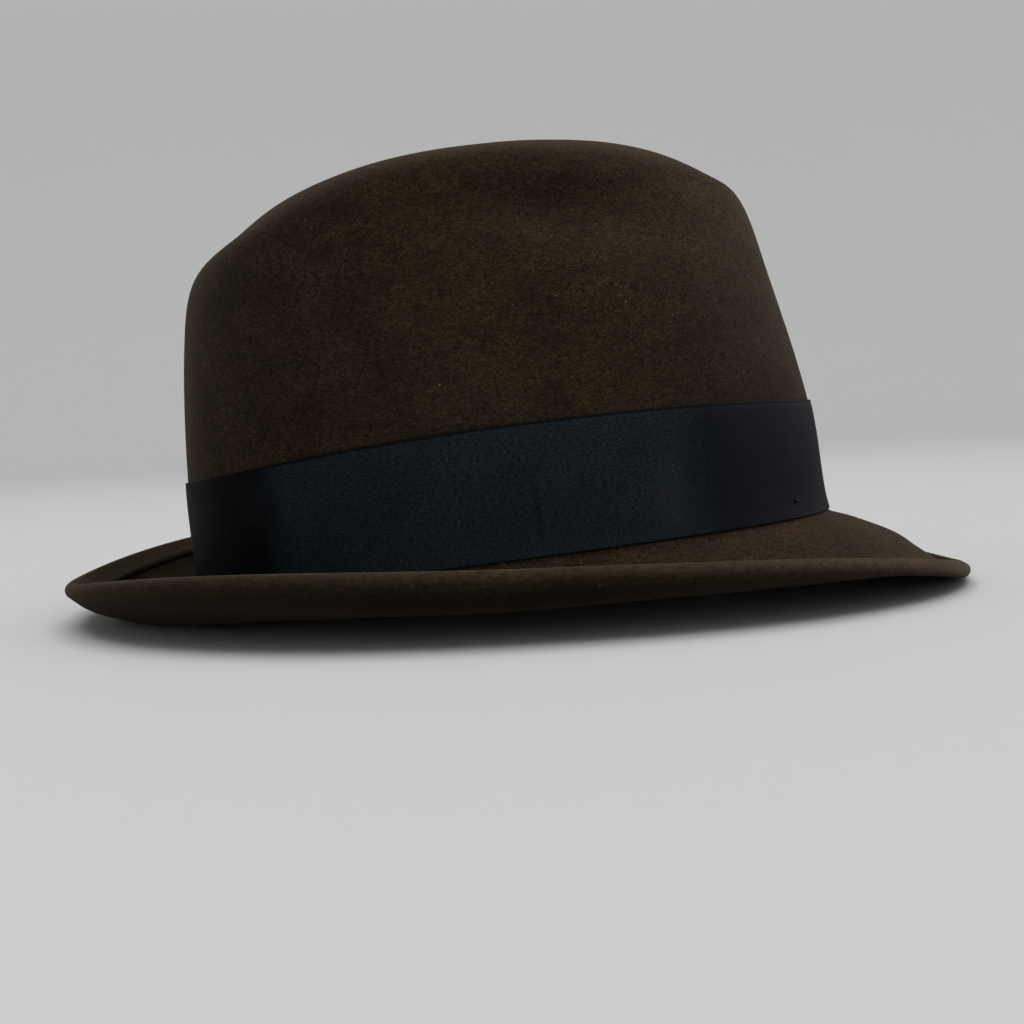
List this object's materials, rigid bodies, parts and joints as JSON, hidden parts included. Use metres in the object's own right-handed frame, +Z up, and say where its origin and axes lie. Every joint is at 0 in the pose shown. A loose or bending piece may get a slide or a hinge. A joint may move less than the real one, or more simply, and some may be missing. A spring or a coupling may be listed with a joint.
{
  "type": "fedora hat",
  "caption": "Snap-brim felt fedora with a centre-dented crown, ribbon band and side bow, leather sweatband and satin lining, worn on the head.",
  "frame": {"origin": "centre of the hat's outline, on the table that its brim stands on", "axes": "+X the wearer's front, +Y the wearer's left, +Z up"},
  "size_m": [0.2933, 0.2472, 0.1429],
  "materials": {
    "felt": "dark brown fur felt with a short brushed nap",
    "grosgrain": "blue-black grosgrain ribbon with fine upright ribs, a slight sheen",
    "thread": "dark sewing thread",
    "sweatband_leather": "smooth tan-brown leather",
    "reed_tape": "woven tape over a stiff cord",
    "sweatband_thread": "tan sewing thread",
    "inner_ribbon": "narrow satin ribbon",
    "tag_cloth": "plain woven tag with nothing on it",
    "satin": "satin lining",
    "piping": "covered cord piping"
  },
  "bodies": {
    "hat": {"felt_crown_and_brim": "felt", "ribbon_band": "grosgrain", "bow_base": "grosgrain", "bow_loop_front": "grosgrain", "bow_loop_rear": "grosgrain", "bow_knot": "grosgrain", "band_tack_front_right": "thread", "band_tack_front_left": "thread", "band_tack_rear_right": "thread", "band_tack_rear_left": "thread", "sweatband": "sweatband_leather", "sweatband_reed": "reed_tape", "sweatband_stitching": "sweatband_thread", "sweatband_seam_tape": "reed_tape", "sweatband_bow_left": "inner_ribbon", "sweatband_bow_right": "inner_ribbon", "sweatband_bow_knot": "inner_ribbon", "size_tag": "tag_cloth", "liner_wall": "satin", "liner_piping": "piping", "liner_tip": "satin"},
    "front_brim": {"felt_front_brim": "felt"}
  },
  "joints": [
    {"name": "brim_snap", "type": "hinge", "parent": "hat", "child": "front_brim", "pos_m": [0.11131, 0, 0.0203], "axis": [0, -1, 0], "range_deg": [0, 40]}
  ]
}
